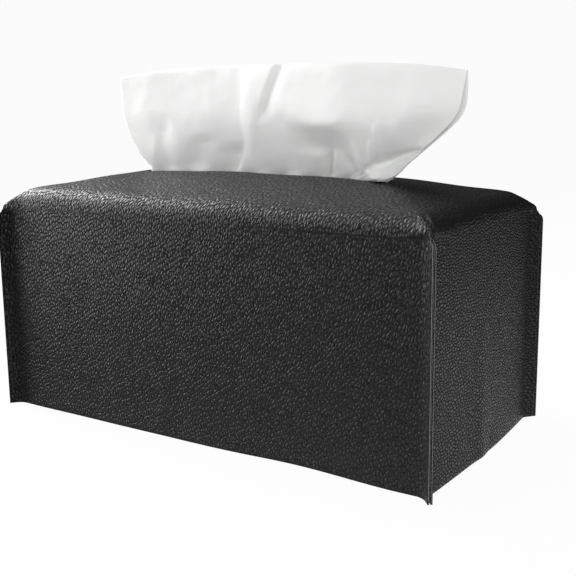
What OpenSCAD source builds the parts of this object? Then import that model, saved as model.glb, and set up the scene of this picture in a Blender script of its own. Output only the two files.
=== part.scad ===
// Soft leather cover for a carton of folded tissues.
// One cross-cut sheet is folded down over the carton, and its four corners are pinched and sewn into
// fins that stand outwards. A two-part belt closes the open base, and a tissue stands in the slot.
// +X runs along the cover, the front wall faces -Y, +Z is up, and the hem stands on Z = 0.

/* [Cover body] */
// Length over the two end walls
body_length = 250; // [215:1:290]
// Depth over the front and rear walls
body_depth = 122; // [110:1:160]
// Height of the walls, from the hem to their fold
corner_height = 111; // [80:1:140]
// Radius of the soft fold between the walls and the top
fold_r = 8; // [5:0.5:10]
// Rise of the crowned top over its folds, at the middle of the slot
crown_rise = 11; // [5:0.5:18]
// How far the end walls bow outwards at the middle of their hem
end_bow = 2; // [0:0.5:4]

/* [Leather] */
// Thickness of the grained leather
leather_t = 0.8; // [0.6:0.1:1.2]
// Thickness of the knitted backing glued to it
backing_t = 0.25; // [0.15:0.05:0.4]

/* [Slot] */
// Length of the slot in the top
slot_length = 152; // [110:1:170]
// Width of the slot in the top
slot_width = 20; // [14:1:30]

/* [Corner seams] */
// How far each sewn fin stands out from its corner
fin_depth = 6; // [5:0.5:9]
// Direction of the fins, measured from the depth of the cover towards its length
fin_angle = 40; // [32:1:50]
// Radius with which the front and rear walls flare into the fins
long_flare_r = 8; // [3:0.5:9]
// Radius with which the end walls flare into the fins
short_flare_r = 4; // [2:0.5:6]
// Drop over which a fin grows to its full depth below its pinched corner
pinch_run = 5; // [4:0.5:12]
// Distance from a corner within which the top is pulled out into its fin
pinch_reach = 14; // [10:1:24]
// How far the pinch lifts the top of each fin
pinch_lift = 2; // [0:0.5:4]
// Radius of the sewing thread
thread_r = 0.25; // [0.15:0.05:0.25]
// Length of one stitch on the surface
stitch_length = 2.4; // [1.6:0.1:3]
// Distance from one stitch to the next
stitch_pitch = 3.2; // [3.2:0.1:5]
// Distance of the corner stitches from the cut edge of the fin
edge_margin = 2; // [1.5:0.1:3]

/* [Belt] */
// Width of the belt that crosses the open base
belt_width = 65; // [40:1:80]
// Thickness of the belt leather
belt_t = 1.2; // [0.8:0.1:2]
// Length over which the two belt halves overlap
belt_overlap = 22; // [20:1:28]
// Height of the tabs sewn inside the hem
tab_height = 14; // [10:1:25]
// Height of the stitch line that holds each tab
tab_stitch_height = 3.4; // [3:0.1:6]
// Length of the hook and loop patches along the belt
patch_length = 18; // [10:1:18]
// Thickness of each hook or loop patch
patch_t = 0.8; // [0.5:0.1:1.2]

/* [Tissue] */
// Length of the tissue where it passes the slot
waist_length = 144; // [90:1:146]
// Length of the tissue across its billows
billow_length = 192; // [150:1:220]
// Length of the tissue along its fold, at the top
spread_length = 202; // [150:1:230]
// Height of the tissue's fold above the slot
tissue_rise = 54; // [46:1:80]
// Height of its billows above the slot
billow_rise = 31; // [24:1:34]
// How far the fuller part of its front leaf billows out
front_billow = 17; // [8:1:20]
// How far the fuller part of its rear leaf billows out
rear_billow = 13; // [8:1:18]
// How far the flatter part of each leaf billows out
flat_billow = 5; // [2:1:7]
// Length of tissue tucked in below the slot
tissue_tuck = 13; // [8:1:20]
// How far its pleats swing to either side in the slot
waist_swing = 3; // [2:0.5:5]
// Thickness of one leaf of the tissue
tissue_t = 0.8; // [0.6:0.1:1]
// Number of pleats where the tissue passes the slot
waist_pleats = 3.5; // [2.5:1:4.5]

/* [Hidden] */

// Half sizes, and the slit that is left between the two sewn layers of a fin
half_length = body_length / 2;
half_depth = body_depth / 2;
half_slot = slot_length / 2;
half_slot_width = slot_width / 2;
seam_gap = 0.1;
sheet_t = leather_t + backing_t;
layer_t = sheet_t + seam_gap / 2;

// Form of the crowned top: how round its ridges are, how it rises, and how much its ends sag
ridge_power_share = 4;
crown_power_share = 1.3;
crown_bow_share = 0.35;
pinch_share = 0.65;
crown_run = half_depth - half_slot_width;
lip_height = corner_height + fold_r + crown_rise;

// Grid of the folded sheet: intervals on half a long wall, on half an end wall and in each flare
long_steps = 13;
short_steps = 10;
long_flare_steps = 7;
short_flare_steps = 6;
top_rings = 5;
fold_rings = 4;
pinch_rows = 3;
wall_rows = 2;
rings = top_rings + fold_rings;
rows = pinch_rows + wall_rows;
flap_steps = [2 * long_steps, 2 * short_steps, 2 * long_steps, 2 * short_steps];
flap_starts = [0, 2 * long_steps, 2 * long_steps + 2 * short_steps, 4 * long_steps + 2 * short_steps];
around = 4 * (long_steps + short_steps);
backing_setback = 0.5;

// Clearances of the belt at its hem, and where its folds and patches lie
belt_lift = 0.3;
hinge_gap = 0.3;
inner_depth = half_depth - sheet_t;
hinge_y = inner_depth - hinge_gap;
belt_corner_r = 6;
strap_rise = belt_t + 2 * patch_t;
ramp_margin = 4;
tab_foot = belt_lift + belt_t + hinge_gap;
patch_margin = 4;
patch_stitch_inset = 2;
patch_width = belt_width - 2 * patch_margin;
overlap_y = belt_overlap / 2;

// Form of the tissue: its grid, with the heights of its rows over the neck above the slot
tissue_steps = 34;
tissue_neck = 4;
leaf_row_shares = [0, 0.2, 0.4, 0.54, 0.7, 0.85, 0.95, 1];
leaf_rows = len(leaf_row_shares);
// Its two leaves: their spacing in the slot, how round their fold is, and how they close towards it
leaf_space = 2;
fold_round = 2.2;
narrow_share = 0.5;
// Where the front leaf fills out to the right, and where the rear leaf gets flat to the right
front_full_share = 0.575;
front_step_share = 0.055;
rear_flat_share = 0.7;
rear_step_share = 0.25;
// How the fuller front billow hangs lower, and how it is drawn up to the right corner
billow_dip = 7;
corner_lift = 20;
corner_from_share = 0.82;
corner_step_share = 0.2;
// How much the billows fade at both ends
end_fade_share = 0.75;
end_from_share = 0.78;
// Gathers towards the right, sideways shift, wave and sag of the fold
gather_share = 0.5;
waist_shift = 1;
spread_shift = 8;
waist_phase = -60;
lean_swing = 5.5;
lean_waves = 1.05;
lean_phase = 29;
top_sag = 5;

leather_colour = "#1b1b1c";
backing_colour = "#6f6f70";
thread_colour = "#222223";
patch_colour = "#2a2a2b";
tissue_colour = "#f4f5f1";

// Outline of half a wall in plan

// Where the face of a wall, sunk by "sink", meets the face of its fin, as a distance along the fin
function fin_start(turn, sink, grow) =
    (-sink - (layer_t - sink) * grow * cos(turn)) / sin(turn);
function flare_radius(flare_r, sink, grow) = (flare_r + sink) * grow;
function flare_tangent(turn, flare_r, sink, grow) = flare_radius(flare_r, sink, grow) * tan(turn / 2);
function straight_run(half, turn, flare_r, sink, grow) =
    half - (layer_t - sink) * grow * sin(turn) + fin_start(turn, sink, grow) * cos(turn)
    - flare_tangent(turn, flare_r, sink, grow);
function arc_run(turn, flare_r, sink, grow) = flare_radius(flare_r, sink, grow) * turn * PI / 180;
function fin_run(turn, flare_r, sink, grow) =
    (fin_depth - fin_start(turn, sink, grow)) * grow - flare_tangent(turn, flare_r, sink, grow);
function half_run(half, turn, flare_r, sink, grow) =
    straight_run(half, turn, flare_r, sink, grow) + arc_run(turn, flare_r, sink, grow)
    + fin_run(turn, flare_r, sink, grow);

// Point at a distance s from the middle of a wall, as [along the wall, outwards from its outer face]
function half_wall_point(half, turn, flare_r, sink, grow, s) =
    let (straight = straight_run(half, turn, flare_r, sink, grow),
         arc = arc_run(turn, flare_r, sink, grow),
         r = flare_radius(flare_r, sink, grow),
         swept = arc > 0 ? turn * min(max((s - straight) / arc, 0), 1) : turn,
         past = max(s - straight - arc, 0))
    [min(s, straight) + r * sin(swept) + past * cos(turn),
     -sink + r * (1 - cos(swept)) + past * sin(turn)];

// Share of the half wall's run at which column i of n stands, with even columns in the flare
function flare_share(half, turn, flare_r) =
    1 - straight_run(half, turn, flare_r, 0, 1) / half_run(half, turn, flare_r, 0, 1);
function column_share(i, n, flare_n, flared) =
    i <= n - flare_n ? (1 - flared) * i / (n - flare_n)
                     : 1 - flared * (n - i) / flare_n;

// The four walls, front, right, rear and left, in the same order as flap_steps
function is_long(side) = side % 2 == 0;
function wall_half(side) = is_long(side) ? half_length : half_depth;
function wall_turn(side) = is_long(side) ? 90 - fin_angle : fin_angle;
function wall_flare_r(side) = is_long(side) ? long_flare_r : short_flare_r;
function wall_share(side, column) =
    let (n = flap_steps[side] / 2, i = abs(column - n))
    column_share(i, n, is_long(side) ? long_flare_steps : short_flare_steps,
                 flare_share(wall_half(side), wall_turn(side), wall_flare_r(side)));
function wall_sign(side, column) = sign(column - flap_steps[side] / 2);

// Turns [along, outwards] on one side into [x, y]
function on_side(side, along, out) =
    side == 0 ? [along, -half_depth - out]
    : side == 1 ? [half_length + out, along]
    : side == 2 ? [-along, half_depth + out]
    : [-half_length - out, -along];

// Share of its bow that a wall has at a share of its half length and a share of its drop
function wall_bow(along_share, drop_share) =
    pow(max(1 - pow(along_share, 2), 0), 2) * pow(drop_share, 2);
function flap_point(side, column, drop, sink) =
    let (grow = pinch_share + (1 - pinch_share) * sin(90 * min(drop / pinch_run, 1)),
         half = wall_half(side), turn = wall_turn(side), r = wall_flare_r(side),
         s = wall_share(side, column) * half_run(half, turn, r, sink, grow),
         p = half_wall_point(half, turn, r, sink, grow, s),
         bow = is_long(side) ? 0 : end_bow * wall_bow(p[0] / half, drop / corner_height),
         q = on_side(side, wall_sign(side, column) * p[0], p[1] + bow))
    [q[0], q[1], corner_height - drop];

// Crowned top

// Rounded distance of a point of the top from the edge, for a top sunk by "sink"
function edge_distance(x, y, sink) =
    let (dx = max(half_length - sink - abs(x), 0), dy = max(half_depth - sink - abs(y), 0))
    dx * dy == 0 ? 0
    : pow(pow(dx, -ridge_power_share) + pow(dy, -ridge_power_share), -1 / ridge_power_share);
function crown_height(x, y) =
    crown_rise * (1 - pow(1 - min(edge_distance(x, y, 0) / crown_run, 1), crown_power_share))
    * (1 - crown_bow_share * pow(x / half_length, 2));
function fold_height(d, r) = d < r ? sqrt(pow(r, 2) - pow(r - d, 2)) : r;
function top_height(x, y, sink) =
    corner_height + fold_height(edge_distance(x, y, sink), fold_r - sink) + crown_height(x, y);

// Point of the slot's edge that belongs to a column: straight along the slot, round at its ends
function slot_edge(side, column) =
    let (share = wall_share(side, column), way = wall_sign(side, column),
         straight = half_slot - half_slot_width,
         eighth = half_slot_width * PI / 4,
         run = share * (straight + eighth),
         bend = is_long(side) ? max(run - straight, 0) / half_slot_width * 180 / PI : 90 - 45 * share,
         along = (is_long(side) ? min(run, straight) : straight) + half_slot_width * sin(bend),
         across = half_slot_width * cos(bend))
    is_long(side) ? on_side(side, way * along, across - half_depth)
                  : on_side(side, way * across, along - half_length);
function rim_edge(side, column, sink) =
    let (share = wall_share(side, column), way = wall_sign(side, column),
         mitre = sink / tan(fin_angle))
    share < 1 ? on_side(side, way * share * (wall_half(side) - sink), -sink)
    : is_long(side) ? on_side(side, way * (half_length - sink), -mitre)
                    : on_side(side, way * (half_depth - mitre), -sink);

// Distance from the edge at which a ring of the top runs, for a column whose slot edge is run away
function ring_distance(ring, run, r) =
    ring <= top_rings ? r + (run - r) * (1 - ring / top_rings)
                      : r * (1 - cos(90 * (rings - ring) / fold_rings));
// The top is drawn outwards at its corners, along the fins, and lifted, by this much
function pinch_pull(x, y, sink) =
    let (near = 1 - (half_length - sink - abs(x) + half_depth - sink - abs(y)) / pinch_reach,
         outwards = fin_depth * pinch_share)
    pow(max(min(near, 1), 0), 2)
    * [outwards * sign(x) * sin(fin_angle), outwards * sign(y) * cos(fin_angle), pinch_lift];
function top_point(side, column, ring, sink) =
    let (slot = slot_edge(side, column), rim = rim_edge(side, column, sink),
         run = edge_distance(slot[0], slot[1], sink),
         share = ring_distance(ring, run, fold_r - sink) / run,
         p = rim + (slot - rim) * share,
         pull = pinch_pull(p[0], p[1], sink))
    [p[0], p[1], top_height(p[0], p[1], sink)] + pull;

// One folded sheet between two depths below the outer face, as a single closed skin

function side_of(c) = c < flap_starts[1] ? 0 : c < flap_starts[2] ? 1 : c < flap_starts[3] ? 2 : 3;
function sheet_layer(sink, hem_z) = concat(
    [for (ring = [0:rings], c = [0:around - 1])
        let (side = side_of(c)) top_point(side, c - flap_starts[side], ring, sink)],
    [for (side = [0:3], row = [1:rows], column = [0:flap_steps[side]])
        let (drop = row <= pinch_rows ? pinch_run * row / pinch_rows
                    : pinch_run + (corner_height - hem_z - pinch_run) * (row - pinch_rows) / wall_rows)
        flap_point(side, column, drop, sink)]);

layer_points = (rings + 1) * around + rows * (around + len(flap_steps));
function flap_base(side) =
    (rings + 1) * around + rows * (flap_starts[side] + side);
function top_index(ring, c) = ring * around + c % around;
function flap_index(side, row, column) =
    row == 0 ? top_index(rings, flap_starts[side] + column)
             : flap_base(side) + (row - 1) * (flap_steps[side] + 1) + column;

// Two triangles of a four-sided patch, clockwise seen from outside
function patch(a, b, c, d) = [[a, b, c], [a, c, d]];
function flipped(faces) = [for (f = faces) [f[2], f[1], f[0]]];
function sheet_faces() = concat(
    [for (ring = [0:rings - 1], c = [0:around - 1])
        each patch(top_index(ring, c), top_index(ring, c + 1),
                   top_index(ring + 1, c + 1), top_index(ring + 1, c))],
    [for (side = [0:3], row = [0:rows - 1], column = [0:flap_steps[side] - 1])
        each patch(flap_index(side, row, column), flap_index(side, row, column + 1),
                   flap_index(side, row + 1, column + 1), flap_index(side, row + 1, column))]);
function edge_faces() = concat(
    [for (c = [0:around - 1])
        each patch(top_index(0, c + 1), top_index(0, c),
                   top_index(0, c) + layer_points, top_index(0, c + 1) + layer_points)],
    [for (side = [0:3], column = [0:flap_steps[side] - 1])
        let (a = flap_index(side, rows, column), b = flap_index(side, rows, column + 1))
        each patch(a, b, b + layer_points, a + layer_points)],
    [for (side = [0:3], row = [0:rows - 1], last = [0, 1])
        let (column = last * flap_steps[side],
             a = flap_index(side, row, column), b = flap_index(side, row + 1, column),
             faces = patch(a, b, b + layer_points, a + layer_points))
        each (last == 0 ? faces : flipped(faces))]);

module folded_sheet(outer_sink, inner_sink, hem_z) {
    skin = sheet_faces();
    polyhedron(
        points = concat(sheet_layer(outer_sink, hem_z), sheet_layer(inner_sink, hem_z)),
        faces = concat(skin, flipped([for (f = skin) f + [layer_points, layer_points, layer_points]]),
                       edge_faces()),
        convexity = 8);
}

module leather_skin() {
    color(leather_colour) folded_sheet(0, leather_t, 0);
}

module backing_cloth() {
    color(backing_colour) folded_sheet(leather_t, sheet_t, backing_setback);
}

// Threads

// One stitch along Z, flat on the plane Y = 0 and standing out towards +Y
module stitch() {
    translate([0, 0, -stitch_length / 2])
        linear_extrude(height = stitch_length)
            intersection() {
                circle(r = thread_r, $fn = 24);
                translate([-thread_r, 0]) square([2 * thread_r, thread_r]);
            }
}

// Stitches along Z, evenly pitched and centred in a run
module stitch_row(run) {
    count = max(floor((run - stitch_length) / stitch_pitch) + 1, 1);
    for (i = [0:count - 1])
        translate([0, 0, (i - (count - 1) / 2) * stitch_pitch]) stitch();
}

module corner_seam_thread(end, face) {
    low = edge_margin;
    high = corner_height - pinch_run - edge_margin;
    color(thread_colour)
        translate([end * half_length, face * half_depth, (low + high) / 2])
            mirror([end > 0 ? 0 : 1, 0, 0]) mirror([0, face > 0 ? 0 : 1, 0])
                rotate([0, 0, 90 - fin_angle])
                    for (layer = [0, 1])
                        mirror([0, layer, 0])
                            translate([fin_depth - edge_margin, layer_t, 0]) stitch_row(high - low);
}

// Tabs sewn inside the hem, and the line of stitches that shows outside

module belt_tab(face) {
    color(leather_colour)
        mirror([0, face > 0 ? 0 : 1, 0])
            translate([-belt_width / 2, inner_depth - belt_t, tab_foot])
                cube([belt_width, belt_t, tab_height - tab_foot]);
}

module tab_thread(face) {
    color(thread_colour)
        mirror([0, face > 0 ? 0 : 1, 0]) {
            translate([0, half_depth, tab_stitch_height])
                rotate([0, 90, 0]) stitch_row(belt_width - stitch_pitch);
            translate([0, inner_depth - belt_t, tab_stitch_height])
                mirror([0, 1, 0]) rotate([0, 90, 0]) stitch_row(belt_width - stitch_pitch);
        }
}

// Belt halves: each lies flat from its fold at the hem to its rounded end past the middle

module belt_outline() {
    round_centre = belt_width / 2 - belt_corner_r;
    union() {
        translate([-belt_width / 2, -overlap_y + belt_corner_r])
            square([belt_width, hinge_y + overlap_y - belt_corner_r]);
        translate([-round_centre, -overlap_y]) square([2 * round_centre, belt_corner_r]);
        for (way = [-1, 1])
            translate([way * round_centre, -overlap_y + belt_corner_r]) circle(r = belt_corner_r, $fn = 48);
    }
}

// Side of a belt half in [y, z], lying at belt_lift by its fold and lifted by rise over the overlap
module belt_side(rise) {
    ramp_foot = hinge_y - ramp_margin;
    ramp_head = overlap_y + ramp_margin;
    polygon([
        [hinge_y, belt_lift], [hinge_y, belt_lift + belt_t], [ramp_foot, belt_lift + belt_t],
        [ramp_head, belt_lift + rise + belt_t], [-overlap_y, belt_lift + rise + belt_t],
        [-overlap_y, belt_lift + rise], [ramp_head, belt_lift + rise], [ramp_foot, belt_lift]]);
}

module belt_half(rise) {
    intersection() {
        linear_extrude(height = lip_height) belt_outline();
        translate([-belt_width / 2, 0, 0])
            rotate([90, 0, 90]) linear_extrude(height = belt_width) belt_side(rise);
    }
}

module front_belt_strap() {
    color(leather_colour) mirror([0, 1, 0]) belt_half(strap_rise);
}

module rear_belt_strap() {
    color(leather_colour)
        intersection() {
            linear_extrude(height = lip_height) belt_outline();
            translate([-belt_width / 2, -overlap_y, belt_lift])
                cube([belt_width, hinge_y + overlap_y, belt_t]);
        }
}

module patch_plate(z) {
    translate([-patch_width / 2, -patch_length / 2, z]) cube([patch_width, patch_length, patch_t]);
}

module loop_patch() {
    color(patch_colour) patch_plate(belt_lift + belt_t);
}

module hook_patch() {
    color(patch_colour) patch_plate(belt_lift + belt_t + patch_t);
}

// Stitches round a patch, standing up from the plane Z = 0
module patch_stitches() {
    half_x = patch_width / 2 - patch_stitch_inset;
    half_y = patch_length / 2 - patch_stitch_inset;
    for (way = [-1, 1]) {
        translate([0, way * half_y, 0])
            rotate([90, 0, 90]) stitch_row(patch_width - 2 * patch_stitch_inset - stitch_pitch);
        translate([way * half_x, 0, 0])
            rotate([90, 0, 0]) stitch_row(patch_length - 2 * patch_stitch_inset);
    }
}

module hook_patch_thread() {
    color(thread_colour) translate([0, 0, belt_lift + strap_rise + belt_t]) patch_stitches();
}

module loop_patch_thread() {
    color(thread_colour) translate([0, 0, belt_lift]) mirror([0, 0, 1]) patch_stitches();
}

// Tissue: one sheet pulled up through the slot by its fold, so that two leaves stand over the lip,
// pleated together in the slot and billowing out above it

function held(t) = min(max(t, 0), 1);
function eased(t) = held(t) * held(t) * (3 - 2 * held(t));
function fullness(u, way) =
    way < 0 ? eased((u - front_full_share) / front_step_share)
            : eased((rear_flat_share - u) / rear_step_share);
function billow(u, way) =
    (flat_billow + ((way < 0 ? front_billow : rear_billow) - flat_billow) * fullness(u, way))
    * (1 - end_fade_share * eased((abs(2 * u - 1) - end_from_share) / (1 - end_from_share)));
function billow_height(u, way) =
    billow_rise
    + (way < 0 ? corner_lift * eased((u - corner_from_share) / corner_step_share)
                 - billow_dip * fullness(u, way)
               : 0);
function tissue_x(u, h) =
    let (waist = waist_length * (u + gather_share * u * (1 - u) - 1 / 2) + waist_shift,
         wide = billow_length * (u - 1 / 2) + spread_shift,
         top = spread_length * (u - 1 / 2) + spread_shift)
    waist + (wide - waist) * held((h - tissue_neck) / (billow_rise - tissue_neck))
    + (top - wide) * held((h - billow_rise) / (tissue_rise - billow_rise));
function tissue_middle(u, h) =
    waist_swing * sin(360 * waist_pleats * u + waist_phase)
    * (1 - held((h - tissue_neck) / (billow_rise - tissue_neck)))
    + lean_swing * sin(360 * lean_waves * u + lean_phase) * eased(h / tissue_rise);

// Point of the sheet, sunk below its outer face, on a row from the front foot over the fold to the rear
function tissue_point(u, row, sink) =
    let (way = row < 0 ? -1 : 1,
         top = tissue_rise - sink,
         h = abs(row) == leaf_rows ? -tissue_tuck
             : tissue_neck + (top - tissue_neck) * leaf_row_shares[leaf_rows - 1 - abs(row)],
         rise = billow_height(u, way),
         filled = held((h - tissue_neck) / (rise - tissue_neck)),
         narrowed = 1 - narrow_share * eased((h - rise) / (tissue_rise - rise)),
         closing = sqrt(1 - exp(-(top - h) / fold_round)),
         out = closing * (billow(u, way) * filled * narrowed + (leaf_space + tissue_t) / 2 - sink))
    [tissue_x(u, h), tissue_middle(u, h) + way * out,
     lip_height + h - top_sag * eased(h / tissue_rise) * pow(2 * u - 1, 4)];

module tissue_sheet() {
    across = tissue_steps + 1;
    side_points = across * (2 * leaf_rows + 1);
    function at(row, i) = (row + leaf_rows) * across + i;
    outer = [for (row = [-leaf_rows:leaf_rows - 1], i = [0:tissue_steps - 1])
                each patch(at(row, i), at(row + 1, i), at(row + 1, i + 1), at(row, i + 1))];
    ends = [for (row = [-leaf_rows:leaf_rows - 1], last = [0, 1])
                let (i = last * tissue_steps,
                     faces = patch(at(row + 1, i), at(row, i), at(row, i) + side_points,
                                   at(row + 1, i) + side_points))
                each (last == 0 ? faces : flipped(faces))];
    feet = [for (i = [0:tissue_steps - 1], rear = [0, 1])
                let (row = rear == 0 ? -leaf_rows : leaf_rows,
                     faces = patch(at(row, i), at(row, i + 1), at(row, i + 1) + side_points,
                                   at(row, i) + side_points))
                each (rear == 0 ? faces : flipped(faces))];
    color(tissue_colour)
        polyhedron(
            points = [for (sink = [0, tissue_t], row = [-leaf_rows:leaf_rows], i = [0:tissue_steps])
                         tissue_point(i / tissue_steps, row, sink)],
            faces = concat(outer, flipped([for (f = outer) f + [side_points, side_points, side_points]]),
                           ends, feet),
            convexity = 8);
}

leather_skin();
backing_cloth();
corner_seam_thread(-1, -1);  // front_left_seam_thread
corner_seam_thread(1, -1);  // front_right_seam_thread
corner_seam_thread(-1, 1);  // rear_left_seam_thread
corner_seam_thread(1, 1);  // rear_right_seam_thread
belt_tab(-1);  // front_belt_tab
belt_tab(1);  // rear_belt_tab
tab_thread(-1);  // front_tab_thread
tab_thread(1);  // rear_tab_thread
front_belt_strap();
rear_belt_strap();
hook_patch();
loop_patch();
hook_patch_thread();
loop_patch_thread();
tissue_sheet();
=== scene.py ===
"""Soft leather cover for a carton of folded tissues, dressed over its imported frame."""

import math

import bmesh
import bpy
from mathutils import Matrix, Vector, noise


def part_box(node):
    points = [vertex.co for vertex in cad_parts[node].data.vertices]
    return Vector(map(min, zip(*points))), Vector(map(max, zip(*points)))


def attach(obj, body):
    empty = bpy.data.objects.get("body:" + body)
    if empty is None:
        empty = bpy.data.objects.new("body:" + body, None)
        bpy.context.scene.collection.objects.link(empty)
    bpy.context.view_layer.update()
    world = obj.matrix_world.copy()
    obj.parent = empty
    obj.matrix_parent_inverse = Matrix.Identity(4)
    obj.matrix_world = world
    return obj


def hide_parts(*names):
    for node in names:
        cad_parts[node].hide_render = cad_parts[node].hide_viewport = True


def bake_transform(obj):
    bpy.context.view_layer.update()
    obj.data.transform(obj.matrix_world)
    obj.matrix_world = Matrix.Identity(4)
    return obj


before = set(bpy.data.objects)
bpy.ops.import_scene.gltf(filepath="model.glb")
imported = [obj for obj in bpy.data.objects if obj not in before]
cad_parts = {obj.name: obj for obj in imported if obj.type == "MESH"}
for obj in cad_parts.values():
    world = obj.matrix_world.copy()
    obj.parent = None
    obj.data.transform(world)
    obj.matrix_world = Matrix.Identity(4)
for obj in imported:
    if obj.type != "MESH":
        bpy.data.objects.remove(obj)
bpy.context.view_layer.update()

# Camera: it stands half a metre from the middle of the cover, off its front right corner, and looks
# a little down, so that the front wall, the right end wall and the crowned top show.
photo_width = 576
focal_px = 949.7
centre_px = (289.9, 271.3)
camera_place = (0.2837, -0.4082, 0.1703)
camera_pitch = math.radians(10.71)
camera_yaw = math.radians(33.11)
camera_roll = math.radians(-0.63)
camera_data = bpy.data.cameras.new("camera")
camera_data.sensor_width = 36
camera_data.lens = focal_px / photo_width * camera_data.sensor_width
camera_data.shift_x = (photo_width / 2 - centre_px[0]) / photo_width
camera_data.shift_y = (centre_px[1] - photo_width / 2) / photo_width
camera_data.clip_start = 0.01
camera = bpy.data.objects.new("camera", camera_data)
bpy.context.collection.objects.link(camera)
camera_turn = (
    Matrix.Rotation(camera_yaw, 4, "Z")
    @ Matrix.Rotation(math.pi / 2 - camera_pitch, 4, "X")
    @ Matrix.Rotation(camera_roll, 4, "Z")
)
camera.matrix_world = Matrix.Translation(camera_place) @ camera_turn
bpy.context.scene.camera = camera

# Leather skin: one cross-shaped cut of black pebbled leather, folded down over a carton. Its four
# corners are pinched and sewn into fins that stand outwards, and the top is cut open for the tissue.
leather_t = 0.0008
backing_t = 0.00025
seam_gap = 0.0001
layer_t = leather_t + backing_t + seam_gap / 2
fin_depth = 0.006
fin_angle = math.radians(40)
fin_way = Vector((math.sin(fin_angle), math.cos(fin_angle), 0))
skin_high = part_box("leather_skin")[1]
half_length = skin_high.x - fin_depth * fin_way.x - layer_t * fin_way.y
half_depth = skin_high.y - fin_depth * fin_way.y - layer_t * fin_way.x
fold_r = 0.008
crown_rise = 0.011
crown_power = 1.3
crown_bow = 0.35
ridge_power = 4
wall_height = skin_high.z - fold_r - crown_rise
half_slot = 0.076
half_slot_width = 0.01
crown_run = half_depth - half_slot_width
pinch_run = 0.005
pinch_reach = 0.014
pinch_lift = 0.002
pinch_share = 0.65
end_bow = 0.002
flare_radii = (0.008, 0.004)
top_rows = 20
fold_rows = 8
pinch_rows = 5
wall_rows = 42
straight_columns = (56, 28)
flare_columns = (18, 14)


def clamp(value):
    return min(max(value, 0), 1)


def ease(value):
    value = clamp(value)
    return value * value * (3 - 2 * value)


def step(value, start, run):
    """Eases from 0 to 1 over a run that begins at a start."""
    return ease((value - start) / run)


def on_side(side, along, out):
    """Turns a place along and out from one of the four walls into x and y."""
    if side % 2 == 0:
        x, y = along, -half_depth - out
    else:
        x, y = half_length + out, along
    return (x, y) if side < 2 else (-x, -y)


def wall_run(side, sink, grow, trim):
    """Lengths of half a wall in plan: straight, flare and fin, with the flare's radius."""
    half, turn = ((half_length, math.pi / 2 - fin_angle), (half_depth, fin_angle))[side % 2]
    fin_start = (-sink - (layer_t - sink) * grow * math.cos(turn)) / math.sin(turn)
    radius = (flare_radii[side % 2] + sink) * grow
    tangent = radius * math.tan(turn / 2)
    straight = half - (layer_t - sink) * grow * math.sin(turn) + fin_start * math.cos(turn) - tangent
    return straight, radius * turn, (fin_depth - fin_start) * grow - tangent - trim, radius, turn


def wall_point(side, share, drop, sink, trim):
    """Place on a wall at a signed share of its half run, a drop below its fold."""
    grow = pinch_share + (1 - pinch_share) * math.sin(math.pi / 2 * min(drop / pinch_run, 1))
    straight, arc, fin, radius, turn = wall_run(side, sink, grow, trim)
    run = abs(share) * (straight + arc + fin)
    swept = turn * clamp((run - straight) / arc)
    past = max(run - straight - arc, 0)
    along = min(run, straight) + radius * math.sin(swept) + past * math.cos(turn)
    out = -sink + radius * (1 - math.cos(swept)) + past * math.sin(turn)
    if side % 2:
        out += end_bow * max(1 - (along / half_depth) ** 2, 0) ** 2 * (drop / wall_height) ** 2
    return Vector((*on_side(side, math.copysign(along, share), out), wall_height - drop))


def edge_distance(x, y, sink):
    dx = half_length - sink - abs(x)
    dy = half_depth - sink - abs(y)
    if dx < 1e-7 or dy < 1e-7:
        return 0
    return (dx**-ridge_power + dy**-ridge_power) ** (-1 / ridge_power)


def slot_edge(side, share):
    """Place on the slot's edge: straight along the slot, round at its ends."""
    straight = half_slot - half_slot_width
    run = abs(share) * (straight + half_slot_width * math.pi / 4)
    if side % 2 == 0:
        bend = max(run - straight, 0) / half_slot_width
        along = min(run, straight) + half_slot_width * math.sin(bend)
        across = half_slot_width * math.cos(bend)
        return on_side(side, math.copysign(along, share), across - half_depth)
    bend = math.pi / 2 - math.pi / 4 * abs(share)
    along = straight + half_slot_width * math.sin(bend)
    across = half_slot_width * math.cos(bend)
    return on_side(side, math.copysign(across, share), along - half_length)


def top_height(x, y, sink):
    """Height of the crowned top with its rolled folds, at a depth below its outer face."""
    radius = fold_r - sink
    rise = math.sqrt(radius**2 - max(radius - edge_distance(x, y, sink), 0) ** 2)
    crown = crown_rise * (1 - (1 - clamp(edge_distance(x, y, 0) / crown_run)) ** crown_power)
    return wall_height + rise + crown * (1 - crown_bow * (x / half_length) ** 2)


def top_point(side, share, row, sink):
    """Place on the crowned top in one of its rows, from the slot's edge out to the fold's rim."""
    mitre = sink / math.tan(fin_angle)
    half = (half_length, half_depth)[side % 2]
    rim = on_side(side, share * (half - sink), -sink)
    if abs(share) > 1 - 1e-6:
        rim = (math.copysign(half_length - sink, rim[0]), math.copysign(half_depth - mitre, rim[1]))
    slot = slot_edge(side, share)
    run = edge_distance(*slot, sink)
    radius = fold_r - sink
    if row <= top_rows:
        inwards = (radius + (run - radius) * (1 - row / top_rows)) / run
    else:
        inwards = radius * (1 - math.cos(math.pi / 2 * (top_rows + fold_rows - row) / fold_rows)) / run
    x = rim[0] + (slot[0] - rim[0]) * inwards
    y = rim[1] + (slot[1] - rim[1]) * inwards
    z = top_height(x, y, sink)
    near = 1 - (half_length + half_depth - 2 * sink - abs(x) - abs(y)) / pinch_reach
    pull = clamp(near) ** 2
    x += math.copysign(pull * pinch_share * fin_depth * fin_way.x, x)
    y += math.copysign(pull * pinch_share * fin_depth * fin_way.y, y)
    return Vector((x, y, z + pull * pinch_lift))


def row_drop(row, trim):
    """Drop of a row below the fold, with the trimmed hem in the last one."""
    row -= top_rows + fold_rows
    if row <= pinch_rows:
        return pinch_run * row / pinch_rows
    return pinch_run + (wall_height - pinch_run - trim) * (row - pinch_rows) / wall_rows


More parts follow.
